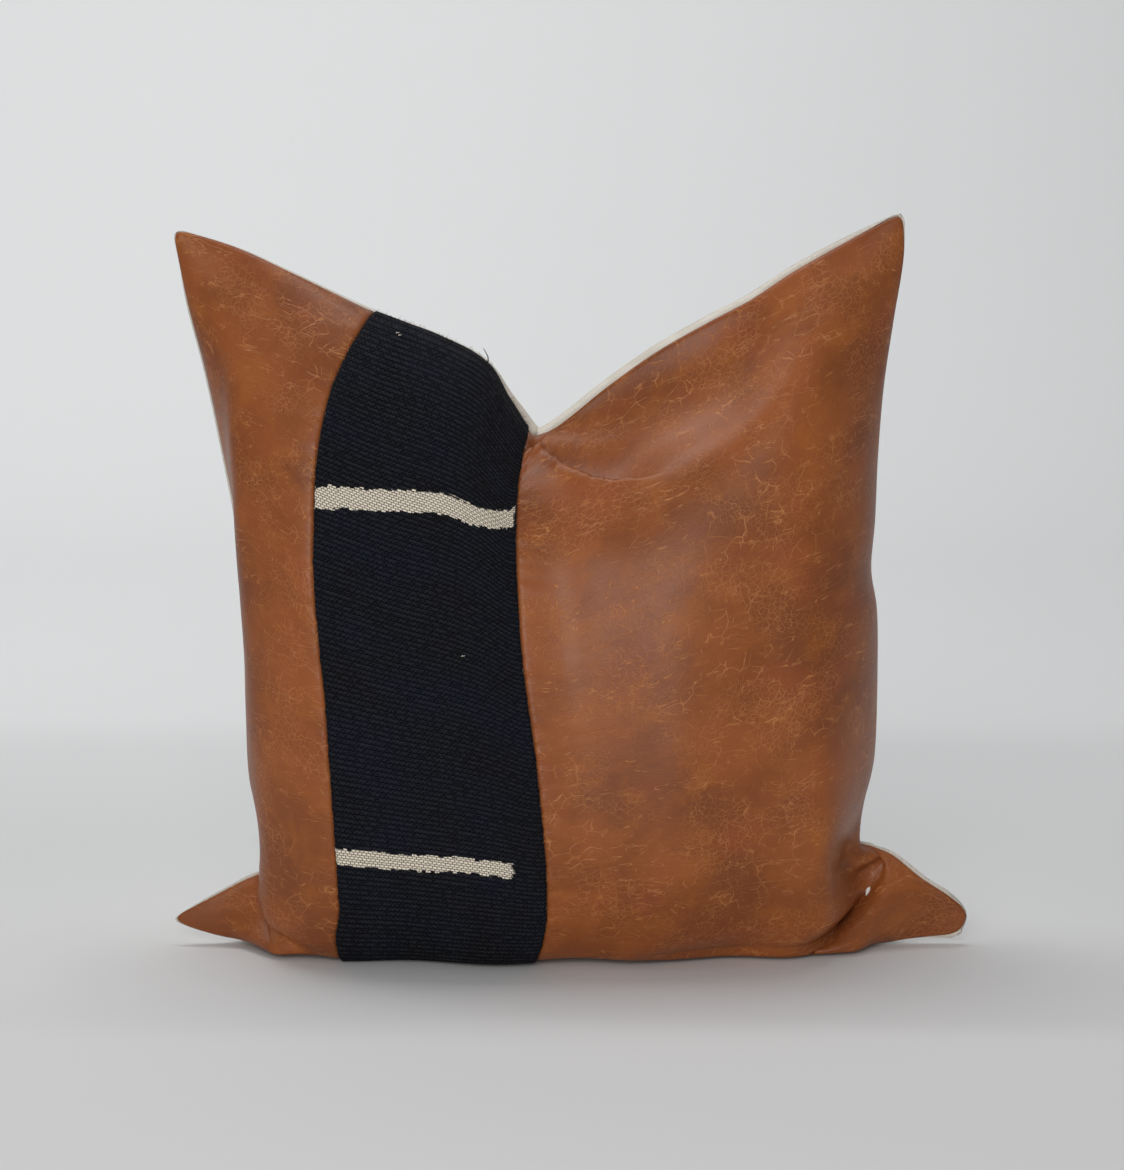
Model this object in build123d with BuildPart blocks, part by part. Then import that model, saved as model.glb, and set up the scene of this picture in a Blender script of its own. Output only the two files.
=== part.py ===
"""Square throw pillow: a pieced cover with a zipper in its bottom seam, and a filled insert.

Units are millimetres. +X is to the viewer's right, the front faces -Y and +Z is up. The origin
is under the middle of the pillow, on the surface that it stands on. The seam that joins the
front of the cover to its back lies in the plane Y = 0.
"""

import os

from build123d import *

# ---- driving dimensions ------------------------------------------------------------------
EAR_TIP_X = 237.0          # each bottom corner stands out sideways this far, as a dog ear
EAR_TIP_Z = 16.0
TOP_LEFT = (-236.0, 433.0)
TOP_RIGHT = (197.0, 446.0)
HALF_DEPTH = 85.0          # seam plane to the fullest point of either face
CHOP_DEPTH = 130.0         # how far the pressed-in dip of the top edge falls below its corners
SEAT_DROP = 30.0           # the round bottom edge that the flat seat cuts away
RIM = 2.0                  # half of the cover's thickness at its outer seam

LEATHER_THICK = 1.2
STRIP_THICK = 1.8
CANVAS_THICK = 1.2
CASING_THICK = 0.5
LAYER_GAP = 0.3            # air between the cover, the insert's casing and its filling
THREAD = 0.6               # width of a sewn seam's groove, and of the thread in it
CASING_THREAD = 0.4

SLOT_HALF_LENGTH = 174.0   # half of the opening in the bottom seam
SLOT_HALF_WIDTH = 7.0
LIP_HEIGHT = 6.5           # the cover turns up here, to carry the zipper clear of the ground
LIP_THICK = 1.2
TAPE_THICK = 0.6
TAPE_OUTER = 12.5
TAPE_INNER = 0.6
TAPE_HALF_LENGTH = 168.0
COIL_WIDTH = 2.0
COIL_THICK = 1.8
COIL_HALF_LENGTH = 160.0
STOP_LENGTH = 3.0
STITCH_PITCH = 4.0
STITCH_LENGTH = 3.0
STITCH_THICK = 0.4
CHANNEL_HALF_WIDTH = 14.5  # the insert stands clear of the zipper by this channel
CHANNEL_HEIGHT = 9.5

SLIDER_X = -152.0          # middle of the slider with the zipper closed
SLIDER_LENGTH = 9.0
SLIDER_CLEAR = 0.3
SLIDER_PLATE = 0.8
SLIDER_FLANGE = 0.8
BRIDGE_SPAN = 4.8
BRIDGE_WIDTH = 1.6
BRIDGE_THICK = 0.8
BRIDGE_LOW = 0.5           # underside of the bridge, above the ground
PULL_LENGTH = 22.0
PULL_WIDTH = 4.4
PULL_THICK = 1.2
PULL_WINDOW = 4.2
PULL_ARM = 0.9
PULL_AXIS_Z = 2.35

FRONT = -1
BACK = 1

# Control net of one face, seven columns from left to right and seven rows from bottom to top.
BOTTOM_X = (-EAR_TIP_X, -160.0, -80.0, 0.0, 80.0, 160.0, EAR_TIP_X)
TOP_X = (TOP_LEFT[0], -150.0, -80.0, -20.0, 40.0, 110.0, TOP_RIGHT[0])
LEFT_WAIST = (0.0, 62.0, 46.0, 32.0, 32.0, 21.0, 0.0)      # how far each row is drawn in
RIGHT_WAIST = (0.0, 18.0, 80.0, 27.0, 50.0, 16.0, 0.0)
BOTTOM_SAG = (0.0, 1.0, 1.5, 1.5, 1.5, 1.0, 0.0)           # share of SEAT_DROP
RISE = (0.0, 0.035, 0.16, 0.38, 0.63, 0.87, 1.0)           # share of the height
END_DRAW = (2.7, 1.2, 1.0, 1.0, 1.0, 1.1, 1.5)             # a sharp corner's layers lie further in
CHOP_ACROSS = (0.0, 0.04, 0.27, 2.54, 0.54, 0.19, 0.0)     # share of CHOP_DEPTH
CHOP_UP = (0.0, 0.0, 0.0, 0.1, 0.3, 0.6, 1.0)
FULL_ACROSS = (0.0, 1.0, 1.0, 1.0, 1.0, 1.0, 0.0)
FULL_UP = (0.0, 1.0, 1.0, 1.0, 1.0, 0.6, 0.0)
FULL_MIDDLE = 0.90         # what the fullness shares add up to in the middle of a face

# The two seams of the strip, as seen from the front: X and Z.
LEFT_SEAM = ((-131, -10), (-138, 60), (-149, 185), (-151, 285), (-140, 345), (-121, 392), (-95, 460))
RIGHT_SEAM = ((-13, -10), (-22, 60), (-29, 185), (-32, 285), (-30, 340), (-24, 385), (-16, 460))
FAR_X = 260.0


# ---- the soft shape ----------------------------------------------------------------------
def rim_depth(inset):
    """Half thickness of the pillow's edge, for a layer drawn in by inset."""
    return RIM - inset / 2


def control_net(inset, side):
    """Control points of one face, with every layer deeper in the pillow drawn in by inset."""
    rim = rim_depth(inset)
    fullness = (HALF_DEPTH - inset - rim) / FULL_MIDDLE
    net = []
    for column in range(7):
        across = column / 6
        inward = inset * (1 - 2 * across)
        lift = inset * min(1, BOTTOM_SAG[column])
        corner_z = TOP_LEFT[1] + (TOP_RIGHT[1] - TOP_LEFT[1]) * across
        top_z = corner_z - 1.5 * inset
        bottom_z = EAR_TIP_Z - SEAT_DROP * BOTTOM_SAG[column] + lift
        points = []
        for row in range(7):
            waist = LEFT_WAIST[row] * max(0, 1 - 2 * across)
            waist -= RIGHT_WAIST[row] * max(0, 2 * across - 1)
            flat_x = BOTTOM_X[column] + (TOP_X[column] - BOTTOM_X[column]) * RISE[row]
            y = side * (rim + fullness * FULL_ACROSS[column] * FULL_UP[row])
            z = bottom_z + (top_z - bottom_z) * RISE[row]
            z -= CHOP_DEPTH * CHOP_ACROSS[column] * CHOP_UP[row]
            points.append((flat_x + waist + inward * END_DRAW[row], y, z))
        net.append(points)
    return net


def face_skin(inset, side):
    """The curved face of one side of the pillow, at a depth of inset below its surface."""
    return Face.make_bezier_surface(control_net(inset, side))


def outline(inset):
    """The flat region inside the seam line, at a depth of inset, lying in the seam's plane."""
    rim_face = Face(face_skin(inset, BACK).outer_wire())
    return rim_face.moved(Location((0, -rim_depth(inset), 0)))


def seated(inset, side):
    """Half of the pillow, standing flat, its seat raised by inset as the rest is drawn in."""
    skin = face_skin(inset, side)
    dome = Solid(Shell([skin, Face(skin.outer_wire())]))
    with BuildPart() as half:
        add(dome)
        extrude(outline(inset), amount=rim_depth(inset), dir=(0, side, 0))
        split(bisect_by=Plane.XY.offset(inset), keep=Keep.TOP)
    return half.part


def trim_to_seam(side, gap):
    """Leave half of a seam's gap between this side of the pillow and the other."""
    keep = Keep.TOP if side == FRONT else Keep.BOTTOM
    split(bisect_by=Plane.XZ.offset(-side * gap / 2), keep=keep)


def box_over_zipper(half_length, half_width, height):
    """A box that stands on the ground over the zipper."""
    box = Box(2 * half_length, 2 * half_width, height, mode=Mode.PRIVATE)
    return box.moved(Location((0, 0, height / 2)))


def front_region(left, right):
    """A block over the part of the front between two upright lines, each a list of X and Z."""
    with BuildPart() as block:
        with BuildSketch(Plane.XZ):
            with BuildLine():
                Spline(*left)
                Line(left[-1], right[-1])
                Spline(*reversed(right))
                Line(right[0], left[0])
            make_face()
        extrude(amount=HALF_DEPTH + RIM)
    return block.part


def shifted(line, amount):
    """An upright line moved sideways."""
    return [(x + amount, z) for x, z in line]


def straight(x):
    """A straight upright line beside the pillow, of the same heights as the strip's seams."""
    return [(x, z) for _, z in LEFT_SEAM]


# ---- the cover ---------------------------------------------------------------------------
def cover_side(thick, side):
    """One side of the cover, with the slot for the zipper and the lip that turns up beside it."""
    with BuildPart() as cover:
        add(seated(0, side))
        add(seated(thick, side), mode=Mode.SUBTRACT)
        add(box_over_zipper(SLOT_HALF_LENGTH, SLOT_HALF_WIDTH + LIP_THICK, LIP_HEIGHT))
        add(box_over_zipper(SLOT_HALF_LENGTH, SLOT_HALF_WIDTH, LIP_HEIGHT), mode=Mode.SUBTRACT)
        trim_to_seam(side, THREAD)
    return cover.part


def front_piece(thick, region):
    """The part of the front of the cover that lies in one region."""
    with BuildPart() as piece:
        add(cover_side(thick, FRONT))
        add(region, mode=Mode.INTERSECT)
    return piece


def back_piece():
    """The back of the cover."""
    with BuildPart() as piece:
        add(cover_side(CANVAS_THICK, BACK))
    return piece


def strip_seam_thread(line):
    """The stitches that join the leather to the strip, sunk in the groove between them."""
    with BuildPart() as thread:
        add(seated(THREAD / 2, FRONT))
        add(seated(1.5 * THREAD, FRONT), mode=Mode.SUBTRACT)
        add(box_over_zipper(SLOT_HALF_LENGTH, SLOT_HALF_WIDTH + LIP_THICK, LIP_HEIGHT), mode=Mode.SUBTRACT)
        add(front_region(shifted(line, -THREAD / 2), shifted(line, THREAD / 2)), mode=Mode.INTERSECT)
        trim_to_seam(FRONT, THREAD)
    return thread


def flat_slab(inset, thick):
    """A slab of the pillow's outline on both sides of the seam's plane, standing flat."""
    with BuildPart() as slab:
        extrude(outline(inset), amount=thick / 2, dir=(0, 1, 0))
        mirror(about=Plane.XZ)
        split(bisect_by=Plane.XY.offset(inset), keep=Keep.TOP)
    return slab.part


def edge_thread(inset, width, opening):
    """The stitches round the edge of a case, in the gap between its front and its back."""
    with BuildPart() as thread:
        add(flat_slab(inset, width))
        add(flat_slab(inset + width, 2 * width), mode=Mode.SUBTRACT)
        add(opening, mode=Mode.SUBTRACT)
    return thread


# ---- the insert --------------------------------------------------------------------------
def insert_half(depth, side):
    """Half of the insert at a depth below its casing's surface, clear of the zipper."""
    inset = STRIP_THICK + LAYER_GAP + depth
    channel = box_over_zipper(SLOT_HALF_LENGTH + 8 + depth, CHANNEL_HALF_WIDTH + depth, CHANNEL_HEIGHT + depth)
    with BuildPart() as half:
        add(seated(inset, side))
        add(channel, mode=Mode.SUBTRACT)
    return half.part


def casing_side(side):
    """One side of the insert's casing."""
    with BuildPart() as casing:
        add(insert_half(0, side))
        add(insert_half(CASING_THICK, side), mode=Mode.SUBTRACT)
        trim_to_seam(side, CASING_THREAD)
    return casing


def filling():
    """The fibre filling, which takes up the whole inside of the casing."""
    with BuildPart() as fill:
        add(insert_half(CASING_THICK + LAYER_GAP, FRONT))
        add(insert_half(CASING_THICK + LAYER_GAP, BACK))
    return fill


# ---- the zipper --------------------------------------------------------------------------
def bar_along(half_length, y_near, y_far, low, high):
    """Half length, the two edges across and the two heights of a straight bar along X."""
    middle = (0, (y_near + y_far) / 2, (low + high) / 2)
    with BuildPart() as bar:
        with Locations(middle):
            Box(2 * half_length, abs(y_far - y_near), high - low)
    return bar


def zipper_tape(side):
    """The woven tape of one side."""
    return bar_along(TAPE_HALF_LENGTH, side * TAPE_INNER, side * TAPE_OUTER, LIP_HEIGHT, LIP_HEIGHT + TAPE_THICK)


def zipper_coil(side):
    """The row of teeth of one side, under its tape."""
    outer = TAPE_INNER + COIL_WIDTH
    return bar_along(COIL_HALF_LENGTH, side * TAPE_INNER, side * outer, LIP_HEIGHT - COIL_THICK, LIP_HEIGHT)


def zipper_stitches(side):
    """The row of stitches that holds a tape to the lip of the cover."""
    count = int(2 * TAPE_HALF_LENGTH / STITCH_PITCH)
    across = side * (SLOT_HALF_WIDTH + LIP_THICK / 2)
    level = LIP_HEIGHT + TAPE_THICK + STITCH_THICK / 2
    with BuildPart() as stitches:
        with Locations((0, across, level)):
            with GridLocations(STITCH_PITCH, 1, count, 1):
                Box(STITCH_LENGTH, THREAD, STITCH_THICK)
    return stitches


def top_stop():
    """The two crimped stops, one on each row, that end the closing travel of the slider."""
    x = -COIL_HALF_LENGTH - STOP_LENGTH / 2
    y = TAPE_INNER + COIL_WIDTH / 2
    with BuildPart() as stop:
        with Locations((x, y, LIP_HEIGHT - COIL_THICK / 2), (x, -y, LIP_HEIGHT - COIL_THICK / 2)):
            Box(STOP_LENGTH, COIL_WIDTH, COIL_THICK)
        fillet(stop.edges().filter_by(Axis.Z), 0.5)
    return stop


def bottom_stop():
    """The single stop across both rows that ends the opening travel of the slider."""
    x = COIL_HALF_LENGTH + STOP_LENGTH / 2
    with BuildPart() as stop:
        with Locations((x, 0, LIP_HEIGHT - COIL_THICK / 2)):
            Box(STOP_LENGTH, 2 * (TAPE_INNER + COIL_WIDTH), COIL_THICK)
        fillet(stop.edges().filter_by(Axis.Z), 0.5)
    return stop


def zipper_slider():
    """Two plates either side of the rows, joined by the wedge between them, and the bridge."""
    coil_low = LIP_HEIGHT - COIL_THICK
    tape_high = LIP_HEIGHT + TAPE_THICK
    lower_top = coil_low - SLIDER_CLEAR
    lower_low = lower_top - SLIDER_PLATE
    upper_low = tape_high + SLIDER_CLEAR
    half_width = TAPE_INNER + COIL_WIDTH + SLIDER_CLEAR + SLIDER_FLANGE
    flange_height = COIL_THICK
    wedge_length = 2.5
    wedge_x = SLIDER_X - SLIDER_LENGTH / 2 + wedge_length / 2
    with BuildPart() as slider:
        for low in (lower_low, upper_low):
            with BuildSketch(Plane.XY.offset(low)):
                with Locations((SLIDER_X, 0)):
                    RectangleRounded(SLIDER_LENGTH, 2 * half_width, 2.2)
            extrude(amount=SLIDER_PLATE)
        with BuildSketch(Plane.XY.offset(lower_top)):
            with Locations((SLIDER_X, half_width - SLIDER_FLANGE / 2), (SLIDER_X, SLIDER_FLANGE / 2 - half_width)):
                Rectangle(SLIDER_LENGTH - 4.4, SLIDER_FLANGE)
        extrude(amount=flange_height)
        with BuildSketch(Plane.XY.offset(lower_top)):
            with Locations((wedge_x, 0)):
                Rectangle(wedge_length, 2 * (TAPE_INNER - SLIDER_CLEAR))
        extrude(amount=upper_low - lower_top)
        with BuildSketch(Plane.XZ.offset(-BRIDGE_WIDTH / 2)):
            with Locations((SLIDER_X, (BRIDGE_LOW + lower_low) / 2)):
                Rectangle(BRIDGE_SPAN + 2 * BRIDGE_THICK, lower_low - BRIDGE_LOW)
            with Locations((SLIDER_X, (BRIDGE_LOW + BRIDGE_THICK + lower_low) / 2)):
                Rectangle(BRIDGE_SPAN, lower_low - BRIDGE_LOW - BRIDGE_THICK, mode=Mode.SUBTRACT)
        extrude(amount=BRIDGE_WIDTH)
    return slider


def zipper_pull():
    """The tab, with a window round the bridge and a round crossbar that turns inside it."""
    tab_x = SLIDER_X + PULL_LENGTH / 2
    with BuildPart() as pull:
        with BuildSketch(Plane.XY.offset(PULL_AXIS_Z - PULL_THICK / 2)):
            with Locations((tab_x, 0)):
                RectangleRounded(PULL_LENGTH, PULL_WIDTH, 1.2)
            with Locations((SLIDER_X + PULL_WINDOW / 2, 0)):
                Rectangle(PULL_WINDOW, PULL_WIDTH - 2 * PULL_ARM, mode=Mode.SUBTRACT)
        extrude(amount=PULL_THICK)
        with BuildSketch(Plane.XZ.offset(-PULL_WIDTH / 2)):
            with Locations((SLIDER_X, PULL_AXIS_Z)):
                Circle(PULL_THICK / 2)
        extrude(amount=PULL_WIDTH)
    return pull


# ---- the pieces --------------------------------------------------------------------------
def all_pieces():
    """Every physical piece, by the name of its node."""
    half_gap = THREAD / 2
    left_of_strip = front_region(straight(-FAR_X), shifted(LEFT_SEAM, -half_gap))
    strip_region = front_region(shifted(LEFT_SEAM, half_gap), shifted(RIGHT_SEAM, -half_gap))
    right_of_strip = front_region(shifted(RIGHT_SEAM, half_gap), straight(FAR_X))
    cover_opening = box_over_zipper(SLOT_HALF_LENGTH, SLOT_HALF_WIDTH, LIP_HEIGHT)
    casing_inset = STRIP_THICK + LAYER_GAP
    channel = box_over_zipper(SLOT_HALF_LENGTH + 8 + THREAD, CHANNEL_HALF_WIDTH, CHANNEL_HEIGHT)
    return {
        "leather_panel_left": front_piece(LEATHER_THICK, left_of_strip),
        "leather_panel_right": front_piece(LEATHER_THICK, right_of_strip),
        "mudcloth_strip": front_piece(STRIP_THICK, strip_region),
        "back_panel": back_piece(),
        "strip_seam_left": strip_seam_thread(LEFT_SEAM),
        "strip_seam_right": strip_seam_thread(RIGHT_SEAM),
        "cover_edge_seam": edge_thread(THREAD / 2, THREAD, cover_opening),
        "zipper_tape_front": zipper_tape(FRONT),
        "zipper_tape_back": zipper_tape(BACK),
        "zipper_coil_front": zipper_coil(FRONT),
        "zipper_coil_back": zipper_coil(BACK),
        "zipper_top_stop": top_stop(),
        "zipper_bottom_stop": bottom_stop(),
        "zipper_slider": zipper_slider(),
        "zipper_pull": zipper_pull(),
        "zipper_stitches_front": zipper_stitches(FRONT),
        "zipper_stitches_back": zipper_stitches(BACK),
        "insert_casing_front": casing_side(FRONT),
        "insert_casing_back": casing_side(BACK),
        "insert_edge_seam": edge_thread(casing_inset, CASING_THREAD, channel),
        "insert_fill": filling(),
    }


os.makedirs("parts", exist_ok=True)
for name, piece in all_pieces().items():
    piece.part.label = name
    export_step(piece.part, f"parts/{name}.step")
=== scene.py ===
import math

import bpy
import numpy as np
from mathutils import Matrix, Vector


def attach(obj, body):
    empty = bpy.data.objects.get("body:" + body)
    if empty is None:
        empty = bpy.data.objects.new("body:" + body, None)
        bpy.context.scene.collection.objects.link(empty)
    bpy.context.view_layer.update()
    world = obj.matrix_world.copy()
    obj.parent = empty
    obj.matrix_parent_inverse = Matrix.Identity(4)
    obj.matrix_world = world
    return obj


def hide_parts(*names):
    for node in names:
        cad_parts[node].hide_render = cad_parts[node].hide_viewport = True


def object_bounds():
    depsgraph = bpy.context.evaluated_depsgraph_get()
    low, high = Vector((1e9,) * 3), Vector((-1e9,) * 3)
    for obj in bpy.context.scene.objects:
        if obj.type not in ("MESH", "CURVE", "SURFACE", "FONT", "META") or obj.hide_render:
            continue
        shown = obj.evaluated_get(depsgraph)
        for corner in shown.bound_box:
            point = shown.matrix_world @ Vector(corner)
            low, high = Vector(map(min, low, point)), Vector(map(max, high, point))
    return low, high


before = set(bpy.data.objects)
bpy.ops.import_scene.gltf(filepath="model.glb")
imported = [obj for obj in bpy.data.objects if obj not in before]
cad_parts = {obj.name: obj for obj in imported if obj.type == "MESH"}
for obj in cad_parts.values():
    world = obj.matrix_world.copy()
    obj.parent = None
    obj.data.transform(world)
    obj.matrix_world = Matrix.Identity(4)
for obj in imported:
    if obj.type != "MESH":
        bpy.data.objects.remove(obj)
CAD_LOW, CAD_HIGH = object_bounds()

# ---- driving values ----------------------------------------------------------------------
WIDE = CAD_HIGH.x                  # half the width over the two dog ears
DEEP = CAD_HIGH.y                  # half the depth of the filled body
TALL = CAD_HIGH.z
MM = 0.001

SIDE = 0.508                       # the cover is cut 20 in square
CELLS = 80                         # cells along each side of the simulated cover
PRESSURE = 3.0                     # that it is blown up with
STEPS = 16                         # frames of the simulation
LEFT_SEAM = 20 / CELLS             # the strip's seams, as shares across the cover
RIGHT_SEAM = 39 / CELLS
FULL = 1.02 * DEEP                 # seam plane to the fullest point of a face
SEAT = 0.49 * DEEP                 # half the depth of the flat seat
SEAT_SHARE = 0.09                  # share of each face that lies under the seat
BELLY_SHARE = 0.36                 # the face is fullest this far up
WAIST_SHARE = 0.165                # where the body folds over the bottom corners
EAR_PLUMP = 0.009                  # half the thickness of a bottom corner near its tip

LEATHER_THICK = 1.2 * MM
STRIP_THICK = 2.0 * MM
CANVAS_THICK = 1.1 * MM
GROUND_GAP = 0.4 * MM              # the cover's lowest face above the ground
RIB = 3.6 * MM                     # pitch of the strip's weft ribs
WARP = 2.5 * MM                    # pitch of its warp

ZIP_HALF = 0.168                   # half the length of the zipper's opening
LIP_FACE = 8.2 * MM                # the opening's lips stand this far from the seam plane
LIP_TOP = 6.4 * MM
CHANNEL_HALF = 15.5 * MM           # the insert stays clear of the zipper by this much
CHANNEL_TOP = 10.5 * MM
LIP_CLEAR = 18 * MM                # of the fold beside the strip by this much
WAIST_CLEAR = 20 * MM              # and of the folds over the bottom corners by this much

# The cover's edge seams, as percent of the half width, half depth and height.
TOP_SEAM = (
    (-99.6, 0, 97.6), (-84.4, 0, 95.2), (-68.8, 0, 91.4), (-51.1, 0, 86.9), (-33.8, 5, 83.3),
    (-21.9, 9, 79.8), (-16.5, 14, 75.1), (-11.8, 19, 71.1), (-9.3, 19, 69.5), (-5.1, 19, 70.4),
    (0.8, 16, 72.8), (9.3, 14, 76.5), (21.9, 9, 81.3), (34.6, 5, 85.2), (44.7, 2, 88.1),
    (54.9, 0, 91.7), (68.4, 0, 95.8), (82.4, 0, 99.8),
)
LEFT_EDGE = (
    (-103, 5, 3.7), (-92.5, 5, 6.7), (-83.2, 7, 9.2), (-75, 12, 10.6), (-71.7, 14, 12.4),
    (-76.4, 9, 17), (-81.2, 3, 23.5), (-81.8, 0, 33.6), (-81.9, 0, 44.8), (-83.8, 0, 57.2),
    (-88, 0, 69.5), (-91.7, 0, 78.9), (-96.4, 0, 88.6), (-99.6, 0, 97.6),
)
RIGHT_EDGE = (
    (100, 5, 1.6), (101.4, 5, 4.4), (97.6, 5, 6.6), (90, 7, 9.2), (82.5, 10, 12.3), (77, 15, 13.3),
    (72.8, 21, 13.7), (73.2, 25, 16.2), (75, 28, 20), (76.8, 28, 24), (77.6, 28, 28), (77.8, 28, 37),
    (77.4, 26, 46), (75.8, 26, 51.8), (76.8, 23, 58.7), (77.3, 19, 67.3), (78.4, 12, 76.7),
    (80.6, 6, 85.7), (82.8, 1, 93.8), (82.4, 0, 99.8),
)
BOTTOM_SEAM = (
    (-103, 5, 3.7), (-91, 5, 0.9), (-80.2, 2, 0.4), (-59.1, 7, 0.4), (-29.5, -5, 0.4), (0, 5, 0.4),
    (29.5, -5, 0.4), (59.1, 7, 0.4), (76, 2, 0.5), (89.9, 5, 1.1), (100, 5, 1.6),
)
# The body's left and right outline, without the ears: share up the body, percent of the half width.
BODY_RISE = (0, 0.05, 0.1, 0.2, 0.3, 0.4, 0.5, 0.65, 0.75, 0.87, 1)
BODY_LEFT = (-75, -79.2, -81.2, -81.9, -82.3, -82.6, -83.9, -87.2, -91.2, -96, -99.6)
BODY_RIGHT = (65, 73.5, 77.6, 79, 78.8, 78.4, 77.5, 77.6, 78.5, 80.4, 82.4)
# Where the strip's two seams run across the body: at its toe, just above it, and at half height.
TOE_SEAMS = (0.112, 0.474)
FOOT_SEAMS = (0.142, 0.474)
HALF_SEAMS = (0.116, 0.445)
BOTTOM_SHARE = (0.219, 0.457)
# How far the canvas's turned edge swells past each seam: shares along the seam, mm.
ROLL_TOP = ((0, 0.1, 0.25, 0.40, 0.46, 0.5, 0.56, 0.9, 1), (0.8, 1.5, 1.8, 2, 5, 6, 5, 5, 2))
ROLL_LEFT = ((0, 0.05, 0.12, 0.2, 0.5, 0.9, 1), (1.5, 2.2, 2.2, 1, 2, 2, 0.8))
ROLL_RIGHT = ((0, 0.04, 0.14, 0.2, 0.3, 0.9, 1), (2.8, 3.0, 3.8, 0.6, 0, 0, 1.5))
# The lip of the fold beside the strip: share across, share up, height and depth in percent.
LIP_ACROSS = (RIGHT_SEAM, 0.51, 0.545, 0.58, 0.61, 0.66, 0.70, 0.75, 0.80, 0.90, 1.0)
LIP_UP = (0.97, 0.93, 0.875, 0.832, 0.815, 0.805, 0.80, 0.81, 0.84, 0.91, 1.0)
LIP_RISE = (71.4, 69.6, 67.5, 65.8, 65.2, 66.6, 68.6, 71.2, 76.4, 88.0, 99.8)
LIP_DEPTH = (16, 28, 47, 60, 64, 66, 66, 63, 57, 36, 0)
LIP_HOLLOW = 8 * MM                # how deep the leather drops behind the lip
LIP_REACH = 9 * MM                 # and how far behind it that is
POCKET_LINE = ((0.885, 0.096), (0.995, 0.166))   # shares across and up, from the foot to the side seam
POCKET_DEPTH = 8 * MM
RIDGE_LINE = ((0.880, 0.078), (0.970, 0.090))    # the ridge below that pocket
RIDGE_RISE = 4 * MM
TIP_REACH = 10 * MM / SIDE         # the corner tips are rounded off over this share
TIP_BLUNT = 0.29                   # and drawn back by this much of it
LIP_DIG = 6 * MM                   # the hollow behind the lip goes this far down


def rgb(red, green, blue):
    """A colour given as a screen shows it, 0 to 255, as the shader wants it."""
    channels = [((c / 255 + 0.055) / 1.055) ** 2.4 if c > 10 else c / 255 / 12.92 for c in (red, green, blue)]
    return (*channels, 1.0)


LEATHER_MID = rgb(152, 84, 40)
LEATHER_DARK = rgb(124, 66, 31)
LEATHER_OCHRE = rgb(164, 94, 38)
LEATHER_RED = rgb(146, 74, 42)
LEATHER_VEIN = rgb(204, 136, 80)
CLOTH_BLACK = rgb(22, 23, 27)
CLOTH_BLUE = rgb(22, 26, 40)
CLOTH_WORN = rgb(60, 61, 68)
# painted highlight: paler rib crests on the black cloth
CLOTH_RIB_HIGHLIGHT = rgb(44, 45, 52)
RIB_WAVE = 0.314 / RIB             # a wave texture of this scale repeats once a rib
# painted shade: the black cloth darkened to this in the gaps between threads
CLOTH_GAP_SHADE = rgb(4, 4, 5)
CREAM = rgb(252, 243, 226)
CREAM_SHADE = rgb(232, 220, 200)
CREAM_STAIN = rgb(176, 166, 148)
# painted shade: the pale bars darkened to this in the gaps between threads
CREAM_GAP_SHADE = rgb(128, 120, 110)
CANVAS_PALE = rgb(244, 238, 229)
CANVAS_SHADE = rgb(226, 218, 205)
# painted shade: the canvas darkened to this in the gaps between threads
CANVAS_GAP_SHADE = rgb(196, 186, 170)
CANVAS_SEED = rgb(170, 150, 120)
YARN_ACROSS = 0.395                # share across the cover of the loose yarn end
LINT = ((0.2885, 0.98), (0.2921, 0.978), (0.4144, 0.564))   # shares across and up of each speck
FUZZ_COUNT = 260
FUZZ_RADIUS = 0.07 * MM
UPPER_BAR_HALF = 7.6 * MM          # half the height of each pale bar
LOWER_BAR_HALF = 5.8 * MM
UPPER_BAR_END = 0.98               # and where it stops, as a share across the strip
LOWER_BAR_END = 0.84
# The middle of each pale bar: share across the strip, share up the cloth.
UPPER_BAR = (
    (0, 0.716), (0.1, 0.728), (0.27, 0.7445), (0.45, 0.762), (0.63, 0.7745), (0.75, 0.778),
    (0.95, 0.818), (1, 0.827),
)
LOWER_BAR = (
    (0, 0.249), (0.26, 0.251), (0.37, 0.253), (0.59, 0.2585), (0.76, 0.2608), (0.84, 0.2636), (1, 0.27),
)


# ---- small sums --------------------------------------------------------------------------
def ease(x, low, high):
    """0 up to low, 1 from high on, and smooth between."""
    t = np.clip((x - low) / (high - low), 0, 1)
    return t * t * (3 - 2 * t)


def smooth(values, reach):
    """A row of values, softened over this many neighbours on each side."""
    weights = np.exp(-np.linspace(-2, 2, 2 * reach + 1) ** 2)
    return np.convolve(np.pad(values, reach, mode="edge"), weights / weights.sum(), "valid")


def cubic(points, steps):
    """A smooth curve through points, with this many steps between each two."""
    p = np.array(points, float)
    p = np.vstack([2 * p[0] - p[1], p, 2 * p[-1] - p[-2]])
    t = np.linspace(0, 1, steps, endpoint=False)[:, None]
    runs = []
    for a, b, c, d in zip(p, p[1:], p[2:], p[3:]):
        square = 2 * a - 5 * b + 4 * c - d
        cube = 3 * b - a - 3 * c + d
        runs.append(b + 0.5 * ((c - a) * t + square * t**2 + cube * t**3))
    return np.vstack(runs + [p[-2:-1]])


def soften(grid):
    """A grid of values, softened upwards and downwards only."""
    return np.array([smooth(row, 7) for row in grid])


def seam_line(percents):
    """A seam as CELLS + 1 points, evenly spaced along it."""
    curve = cubic(percents, 40) * np.array([WIDE, DEEP, TALL]) / 100
    run = np.concatenate([[0], np.cumsum(np.linalg.norm(np.diff(curve, axis=0), axis=1))])
    even = np.linspace(0, run[-1], CELLS + 1)
    return np.stack([np.interp(even, run, curve[:, i]) for i in range(3)], 1)


def at(line, share):
    """Points at these shares along a line."""
    place = np.clip(share, 0, 1) * (len(line) - 1)
    low = np.minimum(place.astype(int), len(line) - 2)
    part = (place - low)[..., None]
    return line[low] * (1 - part) + line[low + 1] * part


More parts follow.
